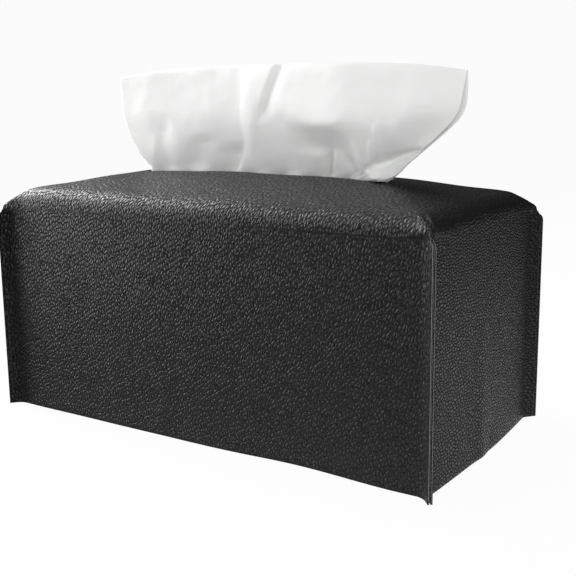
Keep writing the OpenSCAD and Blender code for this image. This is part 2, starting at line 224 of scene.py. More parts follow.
def sheet_point(side, share, row, sink, trim):
    """Place on the folded sheet, by wall, share of the wall's half run and row from the slot."""
    if row <= top_rows + fold_rows:
        return top_point(side, share, row, sink)
    return wall_point(side, share, row_drop(row, trim), sink, trim)


def cut_place(side, share, row):
    """Place on the flat cut before it was folded, with the fold let out to its arc."""
    if row <= top_rows:
        return top_point(side, share, row, 0).xy
    bend = fold_r * math.pi / 2
    if row <= top_rows + fold_rows:
        rim = top_point(side, share, row, 0)
        along = (rim.x, rim.y)[side % 2] * (1 if side < 2 else -1)
        return Vector(on_side(side, along, bend * (row - top_rows) / fold_rows - fold_r))
    half = (half_length, half_depth)[side % 2]
    return Vector(on_side(side, share * half, bend - fold_r + row_drop(row, 0)))


def hump(value, centre, width):
    return math.exp(-(((value - centre) / width) ** 2))


# The soft leather departs from the stiff sheet: its walls sway towards the hem, the end walls crease
# down the middle, and the front hem lifts off the table.
face_band = 0.004
long_sway = 0.0011
long_sway_run = 0.02
end_sway = 0.0008
end_sway_run = 0.015
sway_length = 0.07
sway_height = 0.06
sway_shift = 3
crease_depth = 0.0009
crease_place = -0.004
crease_width = 0.007
hem_lift = 0.0013
hem_lift_place = 0.062
hem_lift_width = 0.034
hem_lift_height = 0.03
# Its crown swells unevenly, the corners rise or sink, and a valley runs from the crown to each fin.
swell_height = 0.0009
swell_size = (0.045, 0.03)
swell_shift = 7
swell_run = 0.006
near_corner_lift = 0.0012
other_corner_lift = -0.0018
corner_reach = 0.013
valley_depth = 0.0014
valley_width = 0.0014
valley_pull = 0.001
valley_margin = 0.003
valley_rise = 0.004
valley_run = 0.01


def wall_sway(x, y, z):
    """Shift of the end walls along x and of the long walls along y, outwards."""
    drop = clamp((wall_height - z) / wall_height)
    long_wall = step(abs(y), half_depth - face_band, face_band)
    long_wall *= ease((half_length - abs(x)) / long_sway_run)
    end_wall = step(abs(x), half_length - face_band, face_band)
    end_wall *= ease((half_depth - abs(y)) / end_sway_run)
    sway = noise.noise(Vector((x / sway_length, y / sway_length + sway_shift, z / sway_height)))
    crease = crease_depth * hump(y, crease_place, crease_width)
    return end_wall * drop * (crease + end_sway * sway), long_wall * drop * long_sway * sway


def corner_pull(x, y, z):
    """Way out along the nearest fin, share of the valley's depth, and lift of the corner."""
    way = Vector((math.copysign(fin_way.x, x), math.copysign(fin_way.y, y)))
    past = Vector((x - math.copysign(half_length, x), y - math.copysign(half_depth, y)))
    valley = hump(past.cross(way), 0, valley_width) * step(z, wall_height - valley_margin, valley_rise)
    valley *= 1 - step(-past.dot(way), valley_margin, valley_run)
    lift = near_corner_lift if x > 0 > y else other_corner_lift
    return way, valley, lift * hump(past.length, 0, corner_reach) * ease(z / wall_height) ** 4


def soften(point):
    """Moves a place on the stiff cover to where the soft leather really hangs."""
    x, y, z = point
    end_shift, long_shift = wall_sway(x, y, z)
    x += math.copysign(end_shift, x)
    y += math.copysign(long_shift, y)
    lift = hem_lift * hump(x, hem_lift_place, hem_lift_width) * (1 - ease(z / hem_lift_height)) * (y < 0)
    way, valley, corner_lift = corner_pull(x, y, z)
    x -= valley_pull * valley * way.x
    y -= valley_pull * valley * way.y
    swell = noise.noise(Vector((x / swell_size[0], y / swell_size[1], swell_shift)))
    swell *= swell_height * step(z, wall_height, swell_run)
    return Vector((x, y, z + lift + corner_lift + swell - valley_depth * valley))


# The flat cut fills this span of its map. Beside the fins and over the end folds its grain is drawn
# out, within these reaches of the corner on the long walls and on the end walls.
cut_span = 0.5
strain_reach = (0.02, 0.075)
strained_fold_share = 0.35
strain_lost_at_hem = 0.7


def strain_at(side, share, row):
    """How hard the sheet is drawn towards its corners: beside the fins, and over the end folds."""
    half = (half_length, half_depth)[side % 2]
    to_corner = half * (1 - abs(share))
    drawn = 1 - ease(to_corner / strain_reach[side % 2])
    if side % 2:
        past = abs(row - top_rows - strained_fold_share * fold_rows) / fold_rows
        return drawn * (1 - ease(past))
    down = row_drop(row, 0) / wall_height if row > top_rows + fold_rows else 0
    return drawn * ease((row - top_rows) / fold_rows) * (1 - strain_lost_at_hem * ease(down))


def folded_sheet(outer_sink, inner_sink, trim):
    """Closed sheet between two depths below the cover's outer face."""
    bm = bmesh.new()
    sides = bm.verts.layers.int.new("side")
    shares = bm.verts.layers.float.new("share")
    levels = bm.verts.layers.float.new("level")
    depth = bm.verts.layers.float.new("depth")
    strain = bm.verts.layers.float.new("strain")
    cut = bm.loops.layers.uv.new("cut")
    wall = bm.loops.layers.uv.new("wall")
    rows = top_rows + fold_rows + pinch_rows + wall_rows
    for side in range(4):
        straight, arc, fin, _, _ = wall_run(side, 0, 1, 0)
        flared = 1 - straight / (straight + arc + fin)
        straight_n, flare_n = straight_columns[side % 2], flare_columns[side % 2]
        columns = straight_n + flare_n
        grid = bmesh.ops.create_grid(bm, x_segments=2 * columns, y_segments=rows, size=1)
        for vert in grid["verts"]:
            column = abs(vert.co.x) * columns
            if column <= straight_n:
                share = (1 - flared) * column / straight_n
            else:
                share = 1 - flared * (columns - column) / flare_n
            vert[sides] = side
            vert[shares] = math.copysign(share, vert.co.x)
            vert[levels] = round((1 - vert.co.y) / 2 * rows)
            vert.co = sheet_point(side, vert[shares], vert[levels], outer_sink, trim)
            vert[strain] = strain_at(side, vert[shares], vert[levels])
            x, y = cut_place(side, vert[shares], vert[levels])
            along, out = ((x, -y), (y, x), (-x, y), (-y, -x))[side]
            for loop in vert.link_loops:
                loop[cut].uv = (0.5 + x / cut_span, 0.5 + y / cut_span)
                loop[wall].uv = (0.5 + along / cut_span, 0.5 + out / cut_span)
    bmesh.ops.remove_doubles(bm, verts=bm.verts, dist=1e-6)
    shell = bmesh.ops.extrude_face_region(bm, geom=bm.faces, use_keep_orig=True)
    for vert in shell["geom"]:
        if isinstance(vert, bmesh.types.BMVert):
            vert.co = sheet_point(vert[sides], vert[shares], vert[levels], inner_sink, trim)
            vert[depth] = 1
    bmesh.ops.recalc_face_normals(bm, faces=bm.faces)
    for vert in bm.verts:
        vert.co = soften(vert.co)
    return bm


def piece(name, bm, finish):
    """Object with a smooth mesh and one finish."""
    mesh = bpy.data.meshes.new(name)
    bm.to_mesh(mesh)
    bm.free()
    mesh.polygons.foreach_set("use_smooth", [True] * len(mesh.polygons))
    mesh.materials.append(finish)
    made = bpy.data.objects.new(name, mesh)
    bpy.context.collection.objects.link(made)
    return made


class Value:
    """A number in a material that changes over the surface. Arithmetic on it adds Math nodes."""

    def __init__(self, finish, socket):
        self.finish = finish
        self.socket = socket

    def math(self, operation, first, second):
        node = self.finish.node("ShaderNodeMath", {"operation": operation}, {0: first, 1: second})
        return Value(self.finish, node.outputs[0])

    def __add__(self, other):
        return self.math("ADD", self, other)

    def __mul__(self, other):
        return self.math("MULTIPLY", self, other)

    def __sub__(self, other):
        return self.math("SUBTRACT", self, other)

    def __rsub__(self, other):
        return self.math("SUBTRACT", other, self)

    def __pow__(self, other):
        return self.math("POWER", self, other)

    __radd__ = __add__
    __rmul__ = __mul__


class Finish:
    """A material, its shader and the one method that adds a node."""

    def __init__(self, name, **settings):
        self.material = bpy.data.materials.new(name)
        self.material.use_nodes = True
        self.tree = self.material.node_tree
        self.shader = self.tree.nodes["Principled BSDF"]
        self.output = self.tree.nodes["Material Output"]
        self.set(self.shader, {key.replace("_", " "): value for key, value in settings.items()})

    def node(self, kind, settings=None, inputs=None):
        made = self.tree.nodes.new(kind)
        for key, value in (settings or {}).items():
            setattr(made, key, value)
        self.set(made, inputs or {})
        return made

    def set(self, node, inputs):
        for key, value in inputs.items():
            source = getattr(value, "socket", value)
            if isinstance(source, bpy.types.NodeSocket):
                self.tree.links.new(source, node.inputs[key])
            else:
                node.inputs[key].default_value = value

    def value(self, node, output=0):
        return Value(self, node.outputs[output])

    def place(self):
        """Place on the object, in metres."""
        return self.node("ShaderNodeTexCoord").outputs["Object"]

    def on_map(self, name):
        """Place on one of the two maps of the flat cut, in metres."""
        place = self.node("ShaderNodeUVMap", {"uv_map": name}).outputs[0]
        return self.vector("MULTIPLY", place, (cut_span, cut_span, cut_span))

    def attribute(self, name):
        return self.value(self.node("ShaderNodeAttribute", {"attribute_name": name}), "Fac")

    def vector(self, operation, *inputs, output="Vector"):
        made = self.node("ShaderNodeVectorMath", {"operation": operation}, dict(enumerate(inputs)))
        return made.outputs[output]

    def noise(self, place, scale, detail):
        inputs = {"Vector": place, "Scale": scale, "Detail": detail}
        return self.value(self.node("ShaderNodeTexNoise", {}, inputs))

    def cells(self, place, scale, randomness):
        """Distance from the walls of flat cells."""
        settings = {"voronoi_dimensions": "2D", "feature": "DISTANCE_TO_EDGE"}
        inputs = {"Vector": place, "Scale": scale, "Randomness": randomness}
        return self.value(self.node("ShaderNodeTexVoronoi", settings, inputs), "Distance")

    def wave(self, direction, inputs):
        """Soft bands across one direction, from 0 to 1."""
        return self.value(self.node("ShaderNodeTexWave", {"bands_direction": direction}, inputs), "Fac")

    def ramp(self, value, low, high, kind="SMOOTHSTEP"):
        inputs = {"Value": value, "From Min": low, "From Max": high}
        return self.value(self.node("ShaderNodeMapRange", {"interpolation_type": kind}, inputs))

    def mix(self, share, first, second):
        """Colour between two colours."""
        made = self.node("ShaderNodeMix", {"data_type": "RGBA"})
        for name, value in (("Factor", share), ("A", first), ("B", second)):
            shown = [i for i, each in enumerate(made.inputs) if each.name == name and each.enabled]
            self.set(made, {shown[0]: value})
        return [each for each in made.outputs if each.enabled][0]

    def blend(self, share, first, second):
        """Shader between two shaders."""
        return self.node("ShaderNodeMixShader", {}, {0: share, 1: first, 2: second}).outputs[0]

    def bump(self, height, distance):
        inputs = {"Height": height, "Distance": distance, "Strength": 1.0}
        return self.node("ShaderNodeBump", {}, inputs).outputs[0]


# Metres by which the rows of pebbles stray, and pebbles per metre across and along their length. The
# cells are turned once more within their rows, or straight rows would show.
stray = 0.003
pebble_rate = (650, 420)
drawn_rate = (600, 260)
top_rate = (640, 340)
cell_rate = 100
cell_turn = math.radians(63)
cell_disorder = 0.85
pebble_height = 0.00055
top_grain_start = 0.002
# The valleys between pebbles are coloured darker than the crests: painted shade in the valleys.
valley_shade_colour = (0.0008, 0.0008, 0.0008, 1)
pebble_colour = (0.008, 0.008, 0.0081, 1)
raw_edge_colour = (0.2, 0.2, 0.196, 1)
leather = Finish("black_pebbled_leather", Specular_IOR_Level=0.32, Coat_Roughness=0.45)
flat_place = leather.on_map("cut")
wander = leather.node(
    "ShaderNodeTexNoise", {}, {"Vector": flat_place, "Scale": 110.0, "Detail": 3.0}
).outputs["Color"]


def pebbles(place, rate, turn):
    """Distance from the valleys between pebbles that lie in close rows."""
    bent = leather.vector("MULTIPLY_ADD", wander, (stray, stray, 0), place)
    size = (cell_rate / rate[0], cell_rate / rate[1], 1)
    rows = {"Vector": bent, "Scale": size, "Rotation": (0, 0, turn)}
    rows = leather.node("ShaderNodeMapping", {"vector_type": "TEXTURE"}, rows).outputs[0]
    slant = {"Vector": rows, "Rotation": (0, 0, cell_turn)}
    slant = leather.node("ShaderNodeMapping", {}, slant).outputs[0]
    return leather.cells(slant, float(cell_rate), cell_disorder)


mottle = leather.noise(flat_place, 90.0, 3.0)
fine = leather.noise(flat_place, 1500.0, 2.0)
level = leather.value(leather.node("ShaderNodeSeparateXYZ", {}, {0: leather.place()}), "Z")
on_top = leather.ramp(level, wall_height + top_grain_start, wall_height + fold_r)
round_ones = pebbles(flat_place, pebble_rate, math.radians(-8))
drawn_ones = pebbles(leather.on_map("wall"), drawn_rate, 0)
top_ones = pebbles(flat_place, top_rate, math.radians(-35))
valleys = round_ones + (drawn_ones - round_ones) * leather.attribute("strain")
valleys = valleys + (top_ones - valleys) * on_top
pebble = 1 - (1 - leather.ramp(valleys, 0.0, 0.42, "LINEAR")) ** 2
crest = leather.ramp(valleys, 0.02, 0.38)
# The middle of the leather's thickness shows its raw grey edge.
inwards = leather.attribute("depth")
raw = leather.ramp(inwards, 0.25, 0.4) - leather.ramp(inwards, 0.6, 0.75)
# Base colour: the leather's own black on the crests, darkening into painted shade in the valleys between
# pebbles.
grain_and_valley_shade_colour = leather.mix(crest, valley_shade_colour, pebble_colour)
leather.set(
    leather.shader,
    {
        "Base Color": leather.mix(raw, grain_and_valley_shade_colour, raw_edge_colour),
        "Roughness": 0.33 + mottle * 0.1 + (1 - pebble) * 0.4 + raw * 0.3,
        "Coat Weight": crest * (1 - raw) * (0.08 + mottle * 0.32 + on_top * 0.4),
        "Normal": leather.bump(pebble * (0.6 + mottle * 0.8) + fine * 0.12, pebble_height),
    },
)
skin = piece("leather_cover", folded_sheet(0, leather_t, 0), leather.material)
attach(skin, "cover")
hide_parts("leather_skin")

# Backing: fine grey knitted cloth, glued all over the inside of the leather and cut back a little
# at the hem and at the edges of the fins. It shows from below and through the slot.
backing_setback = 0.0008
knit_pitch = 0.0011
loop_colour = (0.24, 0.24, 0.235, 1)
between_loops_colour = (0.1, 0.1, 0.1, 1)
backing = Finish("grey_knitted_backing", Roughness=0.95, Sheen_Weight=0.2, Specular_IOR_Level=0.2)
cloth = backing.on_map("cut")
# A wave texture at scale 1 has a band every 2 pi / 20 of a metre.
loops = {"Vector": cloth, "Scale": 2 * math.pi / 20 / knit_pitch, "Distortion": 1.2, "Detail": 0.0}
knit = backing.wave("X", loops) * backing.wave("Y", loops) + backing.noise(cloth, 900.0, 3.0) * 0.4
backing.set(
    backing.shader,
    {
        "Base Color": backing.mix(knit, between_loops_colour, loop_colour),
        "Normal": backing.bump(knit, 0.00012),
    },
)
lining_sheet = folded_sheet(leather_t, leather_t + backing_t, backing_setback)
lining = piece("knitted_backing", lining_sheet, backing.material)
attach(lining, "cover")
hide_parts("backing_cloth")

# Corner stitches: black bonded thread, lockstitched through both layers of each fin, two
# millimetres inside its cut edge. Every stitch dips into the leather at both ends.
thread_r = 0.00025
stitch_length = 0.0024
stitch_pitch = 0.0032
edge_margin = 0.002
stitch_bluntness = 0.7
stitch_lift = 0.24
stitch_dip = 1.1
stitch_lean = 0.4
twist_depth = 0.14
twist_rate = 7
thread_colour = (0.05, 0.05, 0.05, 1)
thread_shade = (0.012, 0.012, 0.012, 1)
thread = Finish("black_bonded_thread", Roughness=0.5, Specular_IOR_Level=0.35)
fibres = thread.noise(thread.place(), 6000.0, 2.0)
thread.set(
    thread.shader,
    {
        "Base Color": thread.mix(fibres, thread_shade, thread_colour),
        "Normal": thread.bump(fibres, 0.00005),
    },
)
bm = bmesh.new()
bmesh.ops.create_uvsphere(bm, u_segments=8, v_segments=7, radius=1)
ball = bpy.data.meshes.new("ball")
bm.to_mesh(ball)
bm.free()


def add_stitch(bm, place, along, out, shape=lambda point: point):
    """One stitch of two twisted strands that lies on a surface at a place."""
    across = along.cross(out)
    first = len(bm.verts)
    bm.from_mesh(ball)
    bm.verts.ensure_lookup_table()
    for vert in bm.verts[first:]:
        side, up, reach = vert.co
        turn = math.atan2(up, side)
        girth = thread_r * (1 + twist_depth * math.cos(2 * turn - twist_rate * reach))
        reach = math.copysign(abs(reach) ** stitch_bluntness, reach)
        lift = thread_r * (stitch_lift - stitch_dip * reach**4)
        lean = stitch_lean * thread_r * reach
        vert.co = shape(
            place
            + along * (reach * stitch_length / 2)
            + across * (side * girth + lean)
            + out * (up * girth + lift)
        )


def stitch_row(bm, middle, along, out, run, shape=lambda point: point):
    """Evenly pitched stitches, centred in a straight run."""
    count = max(math.floor((run - stitch_length) / stitch_pitch + 1e-6) + 1, 1)
    for i in range(count):
        add_stitch(bm, middle + along * ((i - (count - 1) / 2) * stitch_pitch), along, out, shape)


seam_foot = edge_margin
seam_head = wall_height - pinch_run - edge_margin
for end_name, end in (("left", -1), ("right", 1)):
    for face_name, face in (("front", -1), ("rear", 1)):
        bm = bmesh.new()
        way = Vector((end * fin_way.x, face * fin_way.y, 0))
        square = Vector((-way.y, way.x, 0))
        middle = Vector((end * half_length, face * half_depth, (seam_foot + seam_head) / 2))
        for layer in (1, -1):
            seat = middle + way * (fin_depth - edge_margin) + square * (layer * layer_t)
            stitch_row(bm, seat, Vector((0, 0, 1)), square * layer, seam_head - seam_foot, soften)
        bmesh.ops.recalc_face_normals(bm, faces=bm.faces)
        seam = piece(f"{face_name}_{end_name}_seam_stitches", bm, thread.material)
        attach(seam, "cover")
        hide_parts(f"{face_name}_{end_name}_seam_thread")

# Belt: two strips of the same leather, each sewn upright inside the hem and folded in under the
# open base. The front strip laps over the rear one.
belt_width = 0.065
belt_t = 0.0012
belt_lift = 0.0003
belt_end_r = 0.006
fold_gap = 0.0003
fold_slack = 0.0006
tab_height = 0.014
overlap = 0.022
ramp_margin = 0.004
patch_t = 0.0008
belt_edge_r = 0.00025
belt_columns = 26
tab_rows = 12
tab_step = 0.001
bend_rows = 8
flat_rows = 40
end_rows = 8
inner_depth = half_depth - leather_t - backing_t
fold_bend = belt_t + fold_slack
past_bend = 0.0005
flat_end = belt_end_r - overlap / 2
ramp_foot = inner_depth - fold_gap - ramp_margin
ramp_head = overlap / 2 + ramp_margin


def belt_stations(rise):
    """Outer line of a belt half, seen from its edge, as depths and heights from tab to end."""
    line = [(inner_depth, tab_height - tab_step * i) for i in range(tab_rows)]
    for i in range(bend_rows + 1):
        bend = math.pi / 2 * i / bend_rows
        depth = inner_depth - fold_bend * (1 - math.cos(bend))
        line.append((depth, belt_lift + fold_bend * (1 - math.sin(bend))))
    flat_start = line[-1][0] - past_bend
    flats = [flat_start + (flat_end - flat_start) * i / flat_rows for i in range(flat_rows + 1)]
    ends = [flat_end - belt_end_r * math.sin(math.pi / 2 * i / end_rows) for i in range(1, end_rows + 1)]
    for depth in flats + ends:
        line.append((depth, belt_lift + rise * ease((ramp_foot - depth) / (ramp_foot - ramp_head))))
    return line


def add_belt(bm, face, rise):
    """One belt half, flat below the base, on the front or the rear side."""
    line = belt_stations(rise)
    grid = bmesh.ops.create_grid(bm, x_segments=belt_columns, y_segments=len(line) - 1, size=1)
    for vert in grid["verts"]:
        row = round((vert.co.y + 1) / 2 * (len(line) - 1))
        depth, z = line[row]
        past = clamp((flat_end - depth) / belt_end_r) if row > tab_rows + bend_rows else 0
        half = belt_width / 2 - belt_end_r * (1 - math.sqrt(max(1 - past**2, 0)))
        vert.co = (vert.co.x * half, face * depth, z)
    bmesh.ops.recalc_face_normals(bm, faces=bm.faces)
    flat_face = min(bm.faces, key=lambda each: each.calc_center_median().length)
    if flat_face.normal.z > 0:
        bmesh.ops.reverse_faces(bm, faces=bm.faces)
    bmesh.ops.solidify(bm, geom=bm.faces[:], thickness=belt_t)
    bmesh.ops.recalc_face_normals(bm, faces=bm.faces)
    rims = [edge for edge in bm.edges if edge.calc_face_angle(0) > math.pi / 3]
    bmesh.ops.bevel(bm, geom=rims, offset=belt_edge_r, segments=2, profile=0.5, affect="EDGES", material=-1)
    cut = bm.loops.layers.uv.new("cut")
    for belt_face in bm.faces:
        for loop in belt_face.loops:
            x, y, z = loop.vert.co
            loop[cut].uv = (0.5 + x / cut_span, 0.5 + (face * y + z) / cut_span)


for name, face, rise in (("front", -1, belt_t + 2 * patch_t), ("rear", 1, 0)):
    bm = bmesh.new()
    add_belt(bm, face, rise)
    belt = piece(f"{name}_belt", bm, leather.material)
    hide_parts(f"{name}_belt_tab", f"{name}_belt_strap")
    face * (inner_depth + 0.0005)
    face * (inner_depth - 0.0055)
    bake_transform(belt)

# Tab stitches: the line of black thread that holds each belt tab shows on the front and the rear
# wall, a little over three millimetres above the hem, and again on the tab inside.
tab_stitch_height = 0.0034
for name, face in (("front", -1), ("rear", 1)):
    bm = bmesh.new()
    out = Vector((0, face, 0))
    for depth, side in ((half_depth, 1), (inner_depth - belt_t, -1)):
        middle = Vector((0, face * depth, tab_stitch_height))
        shape = soften if side > 0 else lambda point: point
        stitch_row(bm, middle, Vector((1, 0, 0)), out * side, belt_width - stitch_pitch, shape)
    bmesh.ops.recalc_face_normals(bm, faces=bm.faces)
    row = piece(f"{name}_tab_stitches", bm, thread.material)
    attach(row, "cover")
    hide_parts(f"{name}_tab_thread")

# Hook and loop patches: black woven tape sewn to the two belt halves where they overlap, with
# stiff hooks under the front half and soft loops on the rear one, both made as short bent wires.
patch_length = 0.018
patch_margin = 0.004
patch_width = belt_width - 2 * patch_margin
patch_inset = 0.002
tape_t = 0.00035
hook_pitch = 0.0014
hook_wire = 0.0001
hook_r = 0.00028
hook_turn = math.radians(215)
hook_lean = math.radians(40)
hook_lean_step = 7.3
hook_row_shift = 0.35
patch_corner_r = 0.002
tape_colour = (0.06, 0.06, 0.061, 1)
tape_shade = (0.015, 0.015, 0.015, 1)
tape = Finish("black_hook_and_loop", Roughness=0.8, Specular_IOR_Level=0.25, Sheen_Weight=0.15)
weave = {"Vector": tape.place(), "Scale": 700.0, "Distortion": 0.6}
woven = tape.wave("X", weave) * tape.wave("Y", weave)
tape.set(
    tape.shader,
    {
        "Base Color": tape.mix(woven, tape_shade, tape_colour),
        "Normal": tape.bump(woven, 0.0001),
    },
)
bm = bmesh.new()
ring = bmesh.ops.create_circle(bm, segments=4, radius=hook_wire)["verts"]
bmesh.ops.translate(bm, vec=(hook_r, 0, 0), verts=ring)
wire = bm.verts[:] + bm.edges[:]
bmesh.ops.spin(bm, geom=wire, cent=(0, 0, 0), axis=(0, -1, 0), angle=hook_turn, steps=5)
one_hook = bpy.data.meshes.new("one_hook")
bm.to_mesh(one_hook)
bm.clear()
across_n = math.floor((patch_width - 2 * patch_inset) / hook_pitch)
for i in range(across_n + 1):
    first = len(bm.verts)
    bm.from_mesh(one_hook)
    bm.verts.ensure_lookup_table()
    lean = Matrix.Rotation(hook_lean * math.sin(hook_lean_step * i), 4, "Z")
    place = Matrix.Translation(((i - across_n / 2) * hook_pitch, 0, tape_t - hook_wire / 2))
    bmesh.ops.transform(bm, matrix=place @ lean, verts=bm.verts[first:])
hook_row = bpy.data.meshes.new("hook_row")
bm.to_mesh(hook_row)
bm.free()
for name, body, node, base, way in (
    ("hook_tape", "front_belt", "hook_patch", belt_lift + belt_t + 2 * patch_t, -1),
    ("loop_tape", "rear_belt", "loop_patch", belt_lift + belt_t, 1),
):
    bm = bmesh.new()
    size = Matrix.Diagonal((patch_width, patch_length, tape_t, 1))
    middle = Matrix.Translation((0, 0, base + way * tape_t / 2))
    bmesh.ops.create_cube(bm, size=1, matrix=middle @ size)
    corners = [edge for edge in bm.edges if abs(edge.verts[0].co.z - edge.verts[1].co.z) > tape_t / 2]
    bmesh.ops.bevel(
        bm, geom=corners, offset=patch_corner_r, segments=5, profile=0.5, affect="EDGES", material=-1
    )
    for edge in bm.edges:
        edge.smooth = edge.calc_face_angle(0) < math.pi / 4
    along_n = math.floor((patch_length - 2 * patch_inset) / hook_pitch)
    for j in range(along_n + 1):
        first = len(bm.verts)
        bm.from_mesh(hook_row)
        bm.verts.ensure_lookup_table()
        aside = hook_row_shift * hook_pitch * (j % 2 - 0.5)
        shift = Vector((aside, (j - along_n / 2) * hook_pitch, base))
        flip = Matrix.Diagonal((1, 1, way, 1))
        bmesh.ops.transform(bm, matrix=Matrix.Translation(shift) @ flip, verts=bm.verts[first:])
    bmesh.ops.recalc_face_normals(bm, faces=bm.faces)
    patch = piece(name, bm, tape.material)
    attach(patch, body)
    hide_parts(node)

# Patch stitches: black thread holds each patch along its four sides, and the stitches show on the
# other face of its belt half.
for name, body, node, z, way in (
    ("hook_tape_stitches", "front_belt", "hook_patch_thread", belt_lift + 2 * belt_t + 2 * patch_t, 1),
    ("loop_tape_stitches", "rear_belt", "loop_patch_thread", belt_lift, -1),
):
    bm = bmesh.new()
    half_x = patch_width / 2 - patch_inset
    half_y = patch_length / 2 - patch_inset
    out = Vector((0, 0, way))
    for side in (-1, 1):
        stitch_row(bm, Vector((0, side * half_y, z)), Vector((1, 0, 0)), out, 2 * half_x - stitch_pitch)
        stitch_row(bm, Vector((side * half_x, 0, z)), Vector((0, 1, 0)), out, 2 * half_y)
    bmesh.ops.recalc_face_normals(bm, faces=bm.faces)
    row = piece(name, bm, thread.material)
    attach(row, body)
    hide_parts(node)

# Tissue: one thin white two-ply sheet, pulled up through the slot by its fold, so that two leaves
# stand over the lip. It is pleated in the slot and billows out above, most over the right half.
tissue_low, tissue_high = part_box("tissue_sheet")
tissue_t = 0.00022
tissue_columns = 200
tissue_leaf_rows = 56
row_power = 1.4
top_rise = tissue_high.z - skin_high.z
tuck = skin_high.z - tissue_low.z
waist_left = -0.0735
waist_right = 0.073
flare_left = 0.0262
flare_left_rise = 0.021
flare_right = 0.031
flare_right_slope = 0.95
flare_corner = 0.003
end_curl = 0.008
overhang_rise = 0.0245
overhang_step = 0.0115
rear_overhang_rise = 0.031
overhang_corner = 0.09
front_billow = 0.017
rear_billow = 0.013
flat_billow = 0.005
billow_lost_at_fold = 0.5
billow_lost_at_ends = 0.7
roll_foot = 0.010
roll_head = 0.007
bulge_start = 0.031
bulge_run = 0.012
bulge_spread = 0.034
bulge_spread_run = 0.06
leaf_gap = 0.0012
fold_round = 0.005
joined_rise = 0.04
pleats = 7.3
pleat_depth = 0.0026
bow_depth = 0.0055
bow_turns = 1.05
bow_start = 0.08
foot_lean = 0.0045
foot_lean_rise = 0.03
end_sag = 0.005
tip_place = (0.0755, 0.0008)
tip_size = (0.0055, 0.0035)
tip_reach = 0.008
tip_drop = 0.0016
lip_depth = 0.004
lip_gap = 0.0006
# Crumples of two sizes: depth, length, height and the layer of noise.
crumple_sizes = ((0.0009, 0.021, 0.026, 4), (0.0002, 0.006, 0.007, 9))
# Where each change in the tissue sets in and the run that it takes: heights over the lip and places
# along the slot in metres, and shares of the width.
curl_zone = (-0.003, 0.005)
overhang_step_zone = (0.08, 0.035)
spread_zone = (-0.010, 0.022)
flat_roll_zone = (0.045, 0.03)
pleat_zone = (-0.008, 0.010)
loose_zone = (0.002, 0.01)
right_foot_zone = (0.045, 0.02)
left_foot_zone = (0.060, 0.012)
end_share_zone = (0.8, 0.2)
rear_share_zone = (0.45, 0.25)
# Shares of a fold's length by which it runs on past both ends, and over which it fades in and out.
fold_tail = 0.3
fold_fade_in = 0.4
fold_fade_out = 0.5
# Each fold runs from a foot to a head, given as a place along the slot and a height over the lip,
# and has a width to its left, one to its right, and a depth away from the front, all in metres.
leaf_folds = (
    (-0.0715, -0.004, -0.066, 0.024, 0.020, 0.0080, 0.0034),
    (-0.0450, 0.002, -0.036, 0.016, 0.007, 0.0100, 0.0026),
    (-0.0200, -0.004, -0.0130, 0.011, 0.012, 0.0030, 0.0036),
    (-0.0110, 0.010, -0.0120, 0.060, 0.020, 0.0060, 0.0022),
    (0.0065, 0.031, 0.0175, 0.056, 0.002, 0.0050, 0.0020),
    (0.0270, -0.004, 0.0300, 0.012, 0.010, 0.0100, -0.0015),
    (0.0400, -0.004, 0.0440, 0.010, 0.004, 0.0018, 0.0030),
    (0.0390, 0.012, 0.0420, 0.022, 0.009, 0.0090, 0.0030),
    (0.0640, -0.004, 0.0560, 0.008, 0.0025, 0.0020, 0.0022),
    (0.0700, -0.002, 0.0640, 0.016, 0.004, 0.0040, -0.0022),
    (0.0746, 0.007, 0.0766, 0.024, 0.0014, 0.0014, -0.0018),
    (0.0709, 0.005, 0.0719, 0.016, 0.0014, 0.0014, -0.0018),
    (0.0735, 0.005, 0.0900, 0.013, 0.005, 0.0040, 0.0045),
)


def soft_limit(value, limit, corner):
    """Value that levels off at a limit with a round corner."""
    return -corner * math.log(math.exp(-value / corner) + math.exp(-limit / corner))


def fold_depth(x, h):
    """Depth of the front leaf's folds at a place along the slot and a height over the lip."""
    total = 0
    for foot_x, foot, head_x, head, left, right, depth in leaf_folds:
        way = (h - foot) / (head - foot)
        fade = step(way, -fold_tail, fold_fade_in) * ease((1 + fold_tail - way) / fold_fade_out)
        middle = foot_x + (head_x - foot_x) * way
        if fade > 0:
            total += fade * depth * hump(x, middle, left if x < middle else right)
    return total


def tissue_ends(h):
    """Left and right end of the tissue at a height over the lip."""
    left = waist_left - flare_left * (1 - math.exp(-max(h, 0) / flare_left_rise))
    right = waist_right + end_curl * step(h, *curl_zone)
    return left, right + max(soft_limit(flare_right_slope * h, flare_right, flare_corner), 0)


def front_belly(x, h, edge):
    """How far the front leaf billows out below the edge of its overhang and above it."""
    cone = max(soft_limit(h / edge, 1, overhang_corner), 0)
    roll = cone + (step(h, roll_foot, edge - roll_head) - cone) * (1 - step(x, *flat_roll_zone))
    above = step(h - edge, *spread_zone)
    full = step(x, bulge_start - bulge_spread * above, bulge_run + bulge_spread_run * above)
    return flat_billow * cone + (front_billow - flat_billow) * full * roll


def rear_belly(u, h):
    """How far the rear leaf billows out, most over the left half."""
    cone = max(soft_limit(h / rear_overhang_rise, 1, overhang_corner), 0)
    return (flat_billow + (rear_billow - flat_billow) * (1 - step(u, *rear_share_zone))) * cone


def waves(u, x, h):
    """Depth of the waves that both leaves share: bow, lean of the feet, pleats and crumples."""
    bow = bow_depth * math.sin(2 * math.pi * (bow_turns * u + bow_start)) * ease(h / top_rise)
    feet = step(x, *right_foot_zone) + step(-x, *left_foot_zone)
    lean = bow - foot_lean * feet * (1 - ease(h / foot_lean_rise))
    pleat = pleat_depth * math.sin(2 * math.pi * pleats * u) * (1 - step(h, *pleat_zone))
    crumple = 0
    for depth, length, height, layer in crumple_sizes:
        crumple += depth * step(h, *loose_zone) * noise.noise(Vector((x / length, h / height, layer)))
    return lean + pleat + crumple


def slot_distance(x, y):
    """How far a place lies outside the slot, which has round ends."""
    return math.hypot(max(abs(x) - half_slot + half_slot_width, 0), y) - half_slot_width


